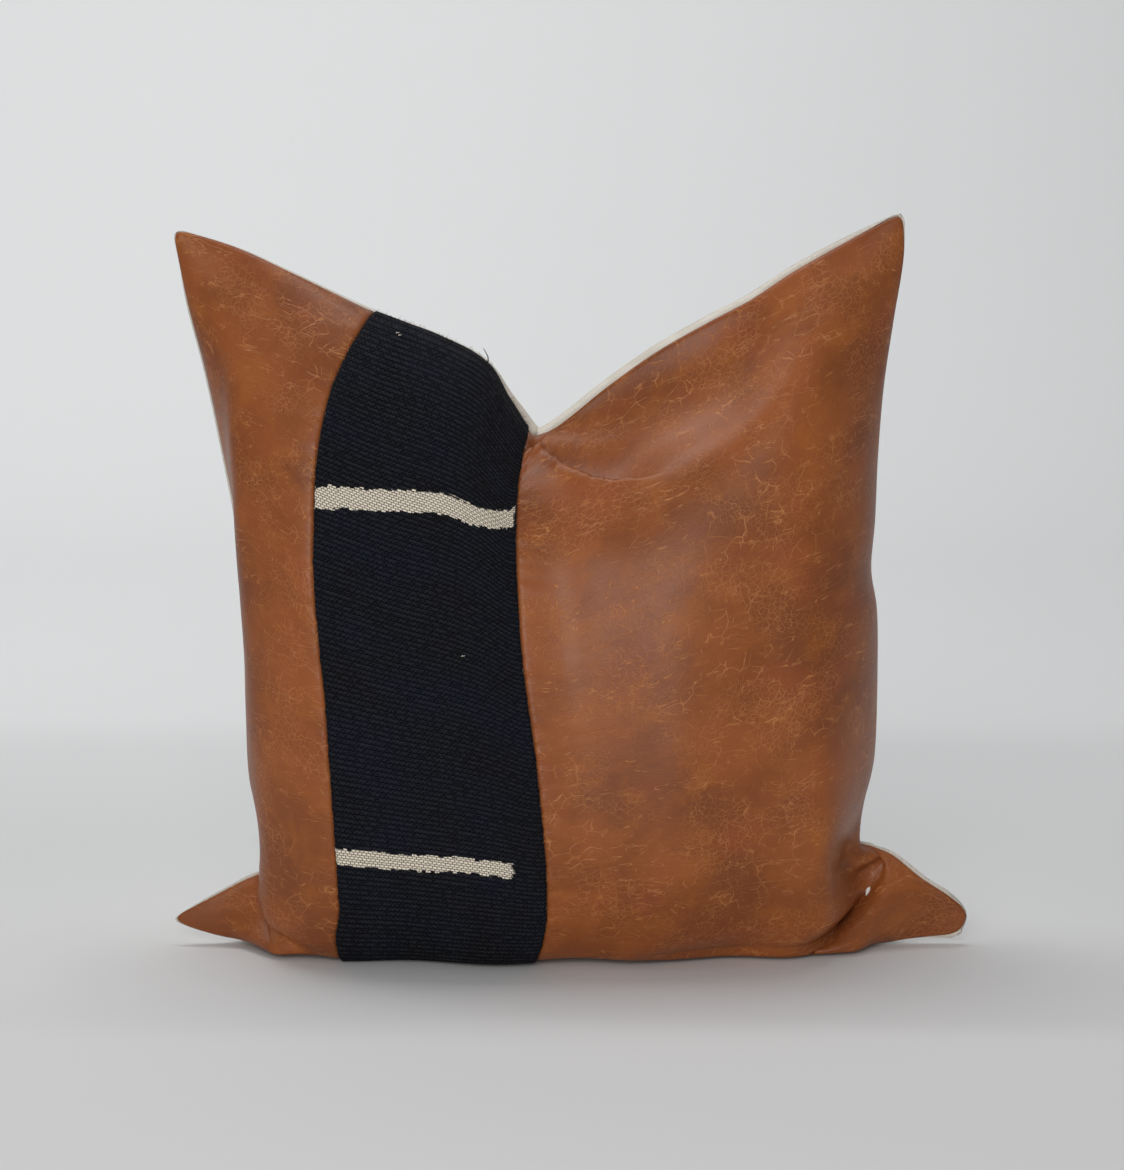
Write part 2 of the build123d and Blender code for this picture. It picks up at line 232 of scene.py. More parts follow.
def patch(u, v, bottom, top, left, right):
    """The surface that four seams span, at shares u across and v up."""
    a = u[..., None]
    b = v[..., None]
    corners = (1 - a) * (1 - b) * bottom[0] + a * (1 - b) * bottom[-1]
    corners = corners + (1 - a) * b * top[0] + a * b * top[-1]
    return (1 - b) * at(bottom, u) + b * at(top, u) + (1 - a) * at(left, v) + a * at(right, v) - corners


def rounded_section(square):
    """Share across and share of the depth, at even lengths along a body's rounded section."""
    angle = np.linspace(0, np.pi, 2001)
    across = -np.sign(np.cos(angle)) * np.abs(np.cos(angle)) ** (2 / square)
    depth = np.sin(angle) ** (2 / square)
    run = np.concatenate([[0], np.cumsum(np.hypot(np.diff(across), FULL / (0.8 * WIDE) * np.diff(depth)))])
    even = np.linspace(0, run[-1], CELLS + 1)
    return (np.interp(even, run, across) + 1) / 2, np.interp(even, run, depth)


# ---- the cover before it is inflated -----------------------------------------------------
ONE = np.linspace(0, 1, CELLS + 1)
U, V = np.meshgrid(ONE, ONE, indexing="ij")
INWARD = 0.5 - np.abs(U - 0.5)               # share in from the nearer side seam
ON_LEFT = U < 0.5
SEATED = np.where(ON_LEFT, ease(INWARD, 0.07, 0.145), ease(INWARD, 0.09, 0.17))
UP = np.clip((V - SEAT_SHARE) / (1 - SEAT_SHARE), 0, 1)
ACROSS, SECTION = rounded_section(2.7)


def seam_shares(places):
    """Shares across the body that put the strip's two seams at these places."""
    knots = (0, LEFT_SEAM, RIGHT_SEAM, 1)
    plain = np.interp(knots, ONE, ACROSS)
    change = np.interp(ONE, knots, (0, places[0] - plain[1], places[1] - plain[2], 0))
    return (ACROSS + smooth(change, 8))[:, None]


def spread(bottom, top, left, right):
    """Where the face's points stand in the seam plane, before they are pushed out."""
    high = np.clip((UP - 0.45) / 0.55, 0, 1) ** 2.2
    rise = ease(UP, 0.08, 0.68)
    foot = ease(UP, 0, 0.10)
    foot_share = seam_shares(TOE_SEAMS) * (1 - foot) + seam_shares(FOOT_SEAMS) * foot
    low_share = foot_share * (1 - rise) + seam_shares(HALF_SEAMS) * rise
    share = low_share * (1 - high) + U * high
    body = at(bottom, share) * (1 - UP[..., None]) + at(top, share) * UP[..., None]
    left_side = np.interp(UP, BODY_RISE, BODY_LEFT) * WIDE / 100
    right_side = np.interp(UP, BODY_RISE, BODY_RIGHT) * WIDE / 100
    bend = at(top, U)[..., 0] - top[0, 0] * (1 - U) - top[-1, 0] * U
    body_x = left_side * (1 - share) + right_side * share + bend * UP**2
    under = np.clip(V / SEAT_SHARE, 0, 1)
    body[..., 0] = at(bottom, U)[..., 0] * (1 - under) + body_x * under
    rounding = ease(V, 0.08, 0.30) * (1 - np.clip((V - 0.55) / 0.45, 0, 1) ** 1.3)
    edge = patch(U * (1 - rounding) + ACROSS[:, None] * rounding, V, bottom, top, left, right)
    mix = np.where(ON_LEFT, ease(INWARD, 0.015, 0.13), ease(INWARD, 0.03, 0.18))[..., None]
    return edge * (1 - mix) + body * mix, rounding


def corner_fold():
    """The height of the fold over a bottom corner, and how far the corner's root fills out."""
    drop = np.where(ON_LEFT, 0.065 * ease(INWARD, 0.0, 0.14), 0.070 * ease(INWARD, 0.0, 0.13))
    root = np.where(ON_LEFT, ease(INWARD, 0.03, 0.14), ease(INWARD, 0.04, 0.16))
    return WAIST_SHARE - drop, root


def fullness(rounding, fold, root):
    """How far each point of a face stands out from the seam plane."""
    lens = np.clip(1 - np.abs(2 * U - 1) ** 2.6, 0, 1) ** 0.62
    section = SECTION[:, None] * rounding + lens * (1 - rounding)
    seat = SEAT / FULL
    below = np.clip(1 - UP / BELLY_SHARE, 0, 1)
    above = np.clip((UP - BELLY_SHARE) / (1 - BELLY_SHARE), 0, 1)
    tip = (1 - above**2.3) ** (0.85 - 0.33 * ease(INWARD, 0.08, 0.30))
    middle = FULL * section * np.where(UP < BELLY_SHARE, seat + (1 - seat) * (1 - below**2.4) ** 0.55, tip)
    middle = np.where(V < SEAT_SHARE, SEAT * np.clip(V / SEAT_SHARE, 0, 1), middle)
    start = 1 - np.clip((V - WAIST_SHARE) / BELLY_SHARE, 0, 1)
    side = FULL * section * (1 - start**2.2) ** 0.5 * np.where(UP < BELLY_SHARE, 1, tip)
    plump = EAR_PLUMP * ease(INWARD, 0, 0.06) + (SEAT - EAR_PLUMP) * root
    ear = plump * np.sin(np.pi * 0.95 * np.clip(V / fold, 0, 1) ** 1.5) ** 0.75
    over = ease(V, fold - 0.012, fold + 0.035)
    side = ear * (1 - over) + side * over
    return middle * SEATED + side * (1 - SEATED)


def press_fold(depth, height, top):
    """The fold that a pressed-in top edge leaves beside the strip: a lip, and a hollow behind it."""
    def row(values):
        return smooth(np.interp(ONE, LIP_ACROSS, values), 4)[:, None]

    line = row(LIP_UP)
    lip_height = row(LIP_RISE) * TALL / 100
    lip_depth = row(LIP_DEPTH) * DEEP / 100
    share = ease(U, 0.475, 0.515) * (1 - ease(U, 0.74, 0.95))
    depth_there = np.array([np.interp(line[i, 0], ONE, depth[i]) for i in range(CELLS + 1)])[:, None]
    height_there = np.array([np.interp(line[i, 0], ONE, height[i]) for i in range(CELLS + 1)])[:, None]
    past = np.clip((V - line) / np.maximum(1 - line, 0.01), 0, 1)
    near = np.exp(-((np.clip(line - V, 0, 1) / 0.07) ** 2))
    short = 1 - lip_depth / np.maximum(depth_there, 0.1 * MM)
    folded_depth = np.where(V > line, lip_depth * (1 - past) ** 1.9, depth * (1 - near * short))
    dig = LIP_DIG * (1 - ease(U, 0.60, 0.72)) * np.sin(np.pi * np.clip(2 * past, 0, 1))
    scoop = lip_height + (top[:, 2:3] - lip_height) * past**1.6 - dig
    drawn_down = (lip_height - height_there) * np.clip(V / line, 0, 1) ** 1.5
    folded_height = np.where(V > line, scoop, height + drawn_down)
    sharp = 1 - ease(U, 0.60, 0.68)
    sharp = np.maximum(sharp, ease(V, 0.90, 0.98))
    folded_depth = folded_depth * sharp + soften(folded_depth) * (1 - sharp)
    folded_height = folded_height * sharp + soften(folded_height) * (1 - sharp)
    firm = 0.45 + 0.35 * (1 - ease(U, 0.62, 0.70))
    hold = firm * np.clip(1.4 * np.exp(-(((V - line) / 0.09) ** 2)) * share, 0, 1)
    return depth * (1 - share) + folded_depth * share, height * (1 - share) + folded_height * share, hold


def face(side):
    """A face of the cover, and how firmly each of its points is held while it is inflated."""
    bottom = seam_line(BOTTOM_SEAM)
    bottom = at(bottom, np.interp(ONE, (0, LEFT_SEAM, RIGHT_SEAM, 1), (0, *BOTTOM_SHARE, 1)))
    top = seam_line(TOP_SEAM)
    points, rounding = spread(bottom, top, seam_line(LEFT_EDGE), seam_line(RIGHT_EDGE))
    fold, root = corner_fold()
    depth = fullness(rounding, fold, root)
    height = points[..., 2].copy()
    level = 1 - (1 - SEATED) * root * (1 - np.clip(V / fold, 0, 1) ** 1.5)
    height = np.where(V < fold, height * level, height)
    bulge = np.where(ON_LEFT, -6 * MM, 15 * MM) * np.exp(-(((V - fold - 0.03) / 0.055) ** 2))
    points[..., 0] += bulge * ease(INWARD, 0, 0.06) * (1 - ease(INWARD, 0.12, 0.26))
    hold = np.where(V < 1.3 * SEAT_SHARE, np.maximum(0.25, 0.4 * SEATED), 0.25)
    if side < 0:
        depth, height, lip_hold = press_fold(depth, height, top)
        hold = np.maximum(hold, lip_hold)
    points[..., 1] += side * depth
    height = np.maximum(height, 1.2 * MM)
    points[..., 2] = np.where(V < SEAT_SHARE, height * (1 - SEATED) + 1.5 * MM * SEATED, height)
    return points, hold


# ---- the cloth simulation ----------------------------------------------------------------
def closed_cover():
    """Front and back as one closed mesh that shares its edge, with the flat shape it was cut to."""
    front, front_hold = face(-1)
    back, back_hold = face(1)
    size = CELLS + 1
    inner = np.zeros((size, size), bool)
    inner[1:-1, 1:-1] = True
    front_index = np.arange(size * size).reshape(size, size)
    back_index = front_index.copy()
    back_index[inner] = size * size + np.arange(inner.sum())
    flat = np.stack([U * SIDE, 0 * U, V * SIDE * 0.93], -1)
    front_hold[~inner] = 1.0
    faces = []
    for index, step in ((front_index, 1), (back_index, -1)):
        quads = np.stack([index[:-1, :-1], index[1:, :-1], index[1:, 1:], index[:-1, 1:]], -1)
        faces.append(quads.reshape(-1, 4)[:, ::step])
    points = np.vstack([front.reshape(-1, 3), back[inner]])
    rest = np.vstack([flat.reshape(-1, 3), flat[inner]])
    hold = np.concatenate([front_hold.ravel(), back_hold[inner]])
    return points, rest, hold, np.vstack(faces), front_index, back_index


def inflate():
    """The cover blown up over its seat by the cloth simulation, as a front and a back grid."""
    points, rest, hold, faces, front_index, back_index = closed_cover()
    mesh = bpy.data.meshes.new("cover_cloth")
    mesh.from_pydata(points.tolist(), [], faces.tolist())
    cover = bpy.data.objects.new("cover_cloth", mesh)
    bpy.context.collection.objects.link(cover)
    cover.shape_key_add(name="Basis")
    flat = cover.shape_key_add(name="flat")
    flat.data.foreach_set("co", rest.astype(np.float32).ravel())
    flat.value = 0
    group = cover.vertex_groups.new(name="held")
    for i, weight in enumerate(hold):
        group.add([i], float(weight), "REPLACE")
    cloth = cover.modifiers.new("cloth", "CLOTH")
    cloth.settings.quality = 6
    cloth.settings.mass = 0.3
    cloth.settings.air_damping = 5
    for name, stiffness, damping in (
        ("tension", 15, 5), ("compression", 15, 5), ("shear", 5, 5), ("bending", 0.5, 0.5)
    ):
        setattr(cloth.settings, name + "_stiffness", stiffness)
        setattr(cloth.settings, name + "_damping", damping)
    cloth.settings.vertex_group_mass = "held"
    cloth.settings.pin_stiffness = 1.0
    cloth.settings.rest_shape_key = flat
    cloth.settings.use_pressure = True
    cloth.settings.uniform_pressure_force = PRESSURE
    cloth.settings.effector_weights.gravity = 0
    cloth.collision_settings.distance_min = 1 * MM
    ground_mesh = bpy.data.meshes.new("ground")
    ground_mesh.from_pydata([(-1, -1, 0), (1, -1, 0), (1, 1, 0), (-1, 1, 0)], [], [(0, 1, 2, 3)])
    ground = bpy.data.objects.new("ground", ground_mesh)
    bpy.context.collection.objects.link(ground)
    ground.modifiers.new("collision", "COLLISION")
    ground.collision.thickness_outer = 1 * MM
    for step in range(1, STEPS + 1):
        bpy.context.scene.frame_set(step)
    shown = cover.evaluated_get(bpy.context.evaluated_depsgraph_get()).to_mesh()
    result = np.empty(3 * len(points), np.float32)
    shown.vertices.foreach_get("co", result)
    result = result.reshape(-1, 3).astype(float)
    bpy.data.objects.remove(cover)
    bpy.data.objects.remove(ground)
    bpy.context.scene.frame_set(1)
    return result[front_index], result[back_index]


def calm_beside_strip(front):
    """The front with the ridge taken out that the pressed-in fold sends down beside the strip."""
    calm = np.apply_along_axis(smooth, 0, front, 5)
    share = np.exp(-(((U - 0.505) / 0.04) ** 2)) * (1 - ease(V, 0.84, 0.93))
    return front + share[..., None] * (calm - front)


# ---- finer grids -------------------------------------------------------------------------
def cubic_weights(shares):
    """Weights that carry CELLS + 1 values to smooth values between them."""
    place = np.clip(shares, 0, 1) * CELLS
    low = np.minimum(place.astype(int), CELLS - 1)
    t = place - low
    parts = (
        -0.5 * t + t**2 - 0.5 * t**3,
        1 - 2.5 * t**2 + 1.5 * t**3,
        0.5 * t + 2 * t**2 - 1.5 * t**3,
        -0.5 * t**2 + 0.5 * t**3,
    )
    weights = np.zeros((len(shares), CELLS + 1))
    for offset, part in enumerate(parts):
        np.add.at(weights, (np.arange(len(shares)), np.clip(low + offset - 1, 0, CELLS)), part)
    return weights


def finer(grid, across, up):
    """The grid at these shares across and up."""
    return np.einsum("ai,ijk,bj->abk", cubic_weights(across), grid, cubic_weights(up))


def fold_hollow(across, up):
    """How far the leather drops just behind the lip of the fold beside the strip."""
    line = np.interp(across, LIP_ACROSS, LIP_UP)[:, None]
    behind = np.clip(up[None, :] - line, 0, 1) * SIDE / LIP_REACH
    left_over = ease((1 - up)[None, :] / (1.001 - line), 0, 0.5)
    share = ease(across, RIGHT_SEAM, RIGHT_SEAM + 0.01) * (1 - ease(across, 0.60, 0.68))
    return LIP_HOLLOW * share[:, None] * left_over * behind * np.exp(1 - behind)


def from_line(across, up, line):
    """Each point's share along a line on the cloth, and its distance to the right of it."""
    start = np.array(line[0])
    run = np.array(line[1]) - start
    reach = np.hypot(*run)
    run = run / reach
    u = across[:, None] - start[0]
    v = up[None, :] - start[1]
    return (u * run[0] + v * run[1]) / reach, (u * run[1] - v * run[0]) * SIDE


def corner_fold_depth(across, up):
    """How far the leather tucks in, less how far it stands out, where the body folds over its corner."""
    along, past = from_line(across, up, POCKET_LINE)
    window = ease(along, -0.2, 0.15) * (1 - ease(along, 0.35, 0.8))
    pocket = POCKET_DEPTH * window * np.exp(-np.where(past > 0, past / (11 * MM), -past / (3 * MM)))
    along, past = from_line(across, up, RIDGE_LINE)
    window = ease(along, -0.1, 0.3) * (1 - ease(along, 0.6, 1.0))
    return pocket - RIDGE_RISE * window * np.exp(-((past / (7 * MM)) ** 2))


def cover(side, across, up):
    """The inflated front (-1) or back (1) at these shares, with its sharp folds and blunt tips put in."""
    grid = finer(FRONT if side < 0 else BACK, across, up)
    if side < 0:
        grid[..., 2] -= fold_hollow(across, up)
        room = np.clip(finer(BACK, across, up)[..., 1] - grid[..., 1], 0, None)
        grid[..., 1] += np.minimum(corner_fold_depth(across, up), 0.35 * room)
    back_off = TIP_BLUNT * TIP_REACH
    for u in (0, 1):
        for v in (0, 1):
            near = np.clip(1 - np.abs(across - u) / TIP_REACH, 0, 1)[:, None]
            near = near * np.clip(1 - np.abs(up - v) / TIP_REACH, 0, 1)[None, :]
            inside = finer(MIDDLE, np.array([abs(u - back_off)]), np.array([abs(v - back_off)]))
            grid += (near**2)[..., None] * (inside[0, 0] - MIDDLE[-u, -v])
    return grid


def outward(grid, side):
    """Unit normals of a face's grid, away from the filling."""
    normals = np.cross(np.gradient(grid, axis=0), np.gradient(grid, axis=1)) * -side
    return normals / np.maximum(np.linalg.norm(normals, axis=2, keepdims=True), 1e-12)


def shares(start, stop, pitch):
    return np.linspace(start, stop, int(round((stop - start) * SIDE / pitch)) + 1)


def waves(x, seed, *lengths):
    """Uneven waves of about 1 along x, whose lengths are in metres."""
    turns = np.random.RandomState(seed).uniform(0, 2 * np.pi, len(lengths))
    return sum(np.sin(2 * np.pi * x / length + turn) for length, turn in zip(lengths, turns)) / len(lengths)


# ---- what the seams, the seat and the zipper do to the cover -----------------------------
def lay_on_ground(grid, lift):
    """Keeps a cloth's upper face at least lift above the ground, with a soft turn at the seat's edge."""
    soft = 0.6 * MM
    grid[..., 2] = lift + soft * np.logaddexp(0, (grid[..., 2] - lift - 0.8 * MM) / soft)


def open_zipper(grid, up, side, lift):
    """Turns the bottom edge up beside the zipper, where the seam is left open."""
    x = grid[..., 0]
    opened = (1 - ease(np.abs(x), ZIP_HALF, ZIP_HALF + 16 * MM)) * np.ones_like(x)
    run = (up * SIDE)[None, :] * np.ones_like(x)
    turn = LIP_TOP - lift
    lip_height = lift + np.clip(turn - run, 0, None)
    lip_depth = LIP_FACE + np.clip(run - turn, 0, None)
    blend = opened * (1 - ease(run, 12 * MM, 40 * MM))
    grid[..., 1] = grid[..., 1] * (1 - blend) + side * lip_depth * blend
    grid[..., 2] = grid[..., 2] * (1 - blend) + lip_height * blend


def edge_round(distance, radius):
    """0 at an edge and 1 from radius on, along a quarter round."""
    return np.sqrt(np.clip(1 - (1 - np.clip(distance / radius, 0, 1)) ** 2, 0, 1))


# ---- meshes ------------------------------------------------------------------------------
SIXTHS = np.arange(6) * np.pi / 3   # the corners of a thread's section


def make_object(name, points, faces, material):
    mesh = bpy.data.meshes.new(name)
    mesh.from_pydata(points.tolist(), [], faces)
    mesh.polygons.foreach_set("use_smooth", [True] * len(faces))
    mesh.materials.append(material)
    piece = bpy.data.objects.new(name, mesh)
    bpy.context.collection.objects.link(piece)
    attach(piece, "pillow")
    return piece


def grid_faces(first, rows, columns, flip):
    index = first + np.arange(rows * columns).reshape(rows, columns)
    quads = np.stack([index[:-1, :-1], index[1:, :-1], index[1:, 1:], index[:-1, 1:]], -1).reshape(-1, 4)
    return quads[:, ::-1] if flip else quads


def rim_faces(rows, columns, flip):
    """The narrow wall that closes two grids of one size round their edge."""
    index = np.arange(rows * columns).reshape(rows, columns)
    loop = np.concatenate([index[:-1, 0], index[-1, :-1], index[:0:-1, -1], index[0, :0:-1]])
    after = np.roll(loop, -1)
    quads = np.stack([loop, loop + rows * columns, after + rows * columns, after], -1)
    return quads[:, ::-1] if flip else quads


def shell(name, inner, outer, across, up, side, material):
    """A closed skin between two grids, with its place on the cut cloth kept for the materials."""
    rows, columns = inner.shape[:2]
    faces = np.vstack([
        grid_faces(0, rows, columns, side > 0),
        grid_faces(rows * columns, rows, columns, side < 0),
        rim_faces(rows, columns, side > 0),
    ])
    points = np.vstack([outer.reshape(-1, 3), inner.reshape(-1, 3)])
    piece = make_object(name, points, faces.tolist(), material)
    cloth = np.zeros((2, rows, columns, 3))
    cloth[..., 0] = across[None, :, None] * SIDE
    cloth[..., 1] = up[None, None, :] * SIDE
    kept = piece.data.attributes.new("cloth", "FLOAT_VECTOR", "POINT")
    kept.data.foreach_set("vector", cloth.astype(np.float32).ravel())
    return piece


def stitch_points(path, lift, pitch, length, radius):
    """The rings of each short rounded stitch along a path; lift is the way out of the cloth."""
    step = np.linalg.norm(np.diff(path, axis=0), axis=1)
    run = np.concatenate([[0], np.cumsum(step)])
    starts = np.arange(0.5 * pitch, run[-1] - pitch, pitch)

    def place(rows, where):
        return np.stack([np.interp(where, run, rows[:, i]) for i in range(3)], 1)

    first = place(path, starts)
    last = place(path, starts + length)
    along = last - first
    along /= np.linalg.norm(along, axis=1, keepdims=True)
    aside = np.cross(along, place(lift, starts + 0.5 * length))
    aside /= np.maximum(np.linalg.norm(aside, axis=1, keepdims=True), 1e-9)
    up = np.cross(aside, along)
    rings = ((0.0, 0.35, -0.6), (0.2, 0.9, 0.1), (0.5, 1.0, 0.5), (0.8, 0.9, 0.1), (1.0, 0.35, -0.6))
    points = []
    for share, width, height in rings:
        centre = first + (last - first) * share + up * radius * height
        for angle in SIXTHS:
            points.append(centre + radius * width * (np.cos(angle) * aside + np.sin(angle) * up))
    return np.stack(points, 1).reshape(-1, 6, 3)


def tube_object(name, rings, lengths, material):
    """Closed six-sided threads through rings; lengths says how many rings each thread has."""
    faces = []
    first = 0
    for count in lengths:
        for ring in range(first, first + count - 1):
            for i in range(6):
                after = (i + 1) % 6
                faces.append((6 * ring + i, 6 * ring + after, 6 * ring + 6 + after, 6 * ring + 6 + i))
        last = first + count - 1
        faces.append(tuple(range(6 * first + 5, 6 * first - 1, -1)))
        faces.append(tuple(range(6 * last, 6 * last + 6)))
        first += count
    piece = make_object(name, rings.reshape(-1, 3), faces, material)
    return piece


def stitches(name, node, runs, pitch, length, radius, slot):
    """Rows of stitches, one row along each (path, lift) of runs."""
    rings = np.vstack([stitch_points(path, lift, pitch, length, radius) for path, lift in runs])
    piece = tube_object(name, rings, [5] * (len(rings) // 5), PAINTS[slot])
    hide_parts(node)


# ---- materials ---------------------------------------------------------------------------
class Paint:
    """A material's nodes, added one by one."""

    def __init__(self, name):
        self.material = bpy.data.materials.new(name)
        self.material.use_nodes = True
        self.tree = self.material.node_tree
        self.shader = self.tree.nodes["Principled BSDF"]

    def node(self, kind, inputs, settings=None, out=0):
        made = self.tree.nodes.new("ShaderNode" + kind)
        for key, value in (settings or {}).items():
            setattr(made, key, value)
        for key, value in inputs.items():
            self.put(made.inputs[key], value)
        return made.outputs[out]

    def put(self, socket, value):
        if isinstance(value, bpy.types.NodeSocket):
            self.tree.links.new(value, socket)
        else:
            socket.default_value = value

    def set(self, **values):
        for key, value in values.items():
            self.put(self.shader.inputs[key.replace("_", " ")], value)

    def cloth(self, scale=(1, 1, 1)):
        """The point's place on the cut cloth, in metres times scale."""
        place = self.node("Attribute", {}, {"attribute_name": "cloth"}, "Vector")
        return self.node("Mapping", {"Vector": place, "Scale": scale})

    def noise(self, where, scale, detail=3.0, rough=0.55, out="Fac"):
        inputs = {"Vector": where, "Scale": scale, "Detail": detail, "Roughness": rough}
        return self.node("TexNoise", inputs, None, out)

    def math(self, operation, a, b=0.0):
        return self.node("Math", {0: a, 1: b}, {"operation": operation})

    def ramp(self, value, low, high, to_low=0.0, to_high=1.0):
        inputs = {"Value": value, "From Min": low, "From Max": high, "To Min": to_low, "To Max": to_high}
        return self.node("MapRange", inputs, {"interpolation_type": "SMOOTHSTEP"})

    def mix(self, share, a, b):
        return self.node("Mix", {0: share, 6: a, 7: b}, {"data_type": "RGBA"}, 2)

    def warped(self, where, scale, reach):
        """The place, shifted unevenly by up to about reach metres."""
        shift = self.noise(where, scale, 2.0, 0.5, "Color")
        centred = self.node("VectorMath", {0: shift, 1: (0.5, 0.5, 0.5)}, {"operation": "SUBTRACT"})
        scaled = self.node("VectorMath", {0: centred, "Scale": 2 * reach}, {"operation": "SCALE"})
        return self.node("VectorMath", {0: where, 1: scaled}, {"operation": "ADD"})

    def crack(self, where, scale, width):
        """1 in thin lines round cells of size 1 / scale, and 0 inside them."""
        edge = self.node(
            "TexVoronoi", {"Vector": where, "Scale": scale}, {"feature": "DISTANCE_TO_EDGE"}, "Distance"
        )
        return self.ramp(edge, 0.0, width, 1.0, 0.0)

    def bands(self, where, scale, distortion, direction):
        """Even waves along one direction."""
        inputs = {"Vector": where, "Scale": scale, "Distortion": distortion}
        return self.node("TexWave", inputs, {"bands_direction": direction})

    def contour(self, value, level, width):
        """1 in a thin line where the value passes this level."""
        return self.ramp(self.math("ABSOLUTE", self.math("SUBTRACT", value, level)), 0.0, width, 1.0, 0.0)

    def bump(self, height, distance, strength=1.0, normal=None):
        inputs = {"Height": height, "Distance": distance, "Strength": strength}
        if normal is not None:
            inputs["Normal"] = normal
        return self.node("Bump", inputs)


def leather_paint():
    """Distressed cognac leather: mottled, with pale crackle veins and long level creases."""
    p = Paint("leather")
    place = p.cloth()
    bent = p.warped(p.warped(place, 38.0, 3.2 * MM), 170.0, 1.1 * MM)
    wavy = p.warped(p.warped(place, 11.0, 9 * MM), 150.0, 0.8 * MM)
    clouds = p.noise(place, 13.0, 5.0, 0.6)
    colour = p.mix(p.ramp(clouds, 0.33, 0.68), LEATHER_DARK, LEATHER_MID)
    patches = p.noise(bent, 34.0, 4.0, 0.62)
    colour = p.mix(p.ramp(patches, 0.46, 0.74, 0.0, 0.55), colour, LEATHER_OCHRE)
    red = p.noise(place, 23.0, 3.0, 0.5)
    colour = p.mix(p.ramp(red, 0.5, 0.75, 0.0, 0.5), colour, LEATHER_RED)
    specks = p.noise(place, 420.0, 2.0, 0.7)
    colour = p.mix(p.ramp(specks, 0.52, 0.8, 0.0, 0.35), colour, LEATHER_DARK)
    where_cracked = p.ramp(p.noise(place, 9.0, 3.0, 0.6), 0.40, 0.60)
    broken = p.ramp(p.noise(place, 75.0, 2.0, 0.5), 0.44, 0.56)
    cells = p.math("MULTIPLY", p.crack(bent, 92.0, 0.040), p.math("MULTIPLY", where_cracked, broken))
    small_where = p.ramp(p.noise(place, 24.0, 2.0, 0.5), 0.44, 0.60)
    small = p.math("MULTIPLY", p.crack(bent, 260.0, 0.08), small_where)
    level = p.node("Mapping", {"Vector": wavy, "Scale": (1.0, 5.0, 1.0)})
    crease_where = p.ramp(p.noise(place, 28.0, 2.0, 0.5), 0.42, 0.56)
    crease = p.math("MULTIPLY", p.contour(p.noise(level, 15.0, 3.0, 0.5), 0.5, 0.007), crease_where)
    other = p.math("MULTIPLY", p.contour(p.noise(level, 22.0, 2.0, 0.5), 0.42, 0.008), broken)
    fine = p.math("MAXIMUM", p.math("MULTIPLY", small, 0.6), other)
    veins = p.math("MAXIMUM", p.math("MAXIMUM", cells, crease), fine)
    veins = p.math("MULTIPLY", veins, p.ramp(p.noise(place, 140.0, 2.0), 0.3, 0.6, 0.35, 1.0))
    colour = p.mix(p.math("MULTIPLY", veins, 0.6), colour, LEATHER_VEIN)
    p.set(Base_Color=colour, Specular_IOR_Level=0.28, Coat_Weight=0.06, Coat_Roughness=0.26)
    grain = p.noise(place, 900.0, 3.0, 0.6)
    pebbles = p.node("TexVoronoi", {"Vector": bent, "Scale": 640.0}, {"feature": "F1"}, "Distance")
    rough = p.ramp(p.math("ADD", grain, p.math("MULTIPLY", patches, 0.5)), 0.5, 1.0, 0.36, 0.50)
    p.set(Roughness=rough)
    normal = p.bump(grain, 0.16 * MM, 0.55)
    normal = p.bump(pebbles, 0.10 * MM, 0.5, normal)
    normal = p.bump(p.math("MULTIPLY", veins, -1.0), 0.22 * MM, 0.7, normal)
    normal = p.bump(p.noise(place, 26.0, 3.0, 0.5), 0.8 * MM, 0.4, normal)
    p.set(Normal=normal)
    return p.material


def bar_mask(p, place, knots, half_height, stop):
    """1 inside a pale bar dyed across the strip: knots are its middle's height at points across."""
    parts = p.node("SeparateXYZ", {"Vector": place}).node
    across = p.node("MapRange", {
        "Value": parts.outputs["X"],
        "From Min": LEFT_SEAM * SIDE,
        "From Max": RIGHT_SEAM * SIDE,
    })
    curve = p.tree.nodes.new("ShaderNodeFloatCurve")
    line = curve.mapping.curves[0]
    for i, (x, y) in enumerate(knots):
        if i < 2:
            line.points[i].location = (x, y)
        else:
            line.points.new(x, y)
    curve.mapping.update()
    p.put(curve.inputs["Value"], across)
    middle = p.math("MULTIPLY", curve.outputs[0], SIDE)
    cell = p.node("VectorMath", {0: place, 1: (WARP, RIB / 2, 1.0)}, {"operation": "SNAP"})
    ragged = p.node("TexWhiteNoise", {"Vector": cell}, None, "Value")
    ragged = p.math("MULTIPLY", p.math("SUBTRACT", ragged, 0.5), 2.2 * MM)
    wander = p.math("MULTIPLY", p.math("SUBTRACT", p.noise(place, 90.0, 2.0), 0.5), 3.5 * MM)
    off = p.math("ABSOLUTE", p.math("SUBTRACT", parts.outputs["Y"], middle))
    off = p.math("ADD", p.math("ADD", off, ragged), wander)
    inside = p.ramp(off, half_height - 0.3 * MM, half_height + 0.3 * MM, 1.0, 0.0)
    end = p.math("ADD", across, p.math("MULTIPLY", p.math("ADD", ragged, wander), 6.0))
    return p.math("MULTIPLY", inside, p.ramp(end, stop - 0.008, stop + 0.008, 1.0, 0.0))


def weave(p, place, pitch, rise):
    """Height of a plain weave, about 0 to 1, with threads this far apart across and up."""
    bricks = {
        "Vector": place,
        "Color1": (0.75, 0.75, 0.75, 1),
        "Color2": (1, 1, 1, 1),
        "Mortar": (0, 0, 0, 1),
        "Scale": 1.0,
        "Mortar Size": 0.24 * rise,
        "Mortar Smooth": 1.0,
        "Brick Width": pitch,
        "Row Height": rise,
    }
    return p.node("TexBrick", bricks, {"offset": 0.5, "squash": 1.0}, "Color")


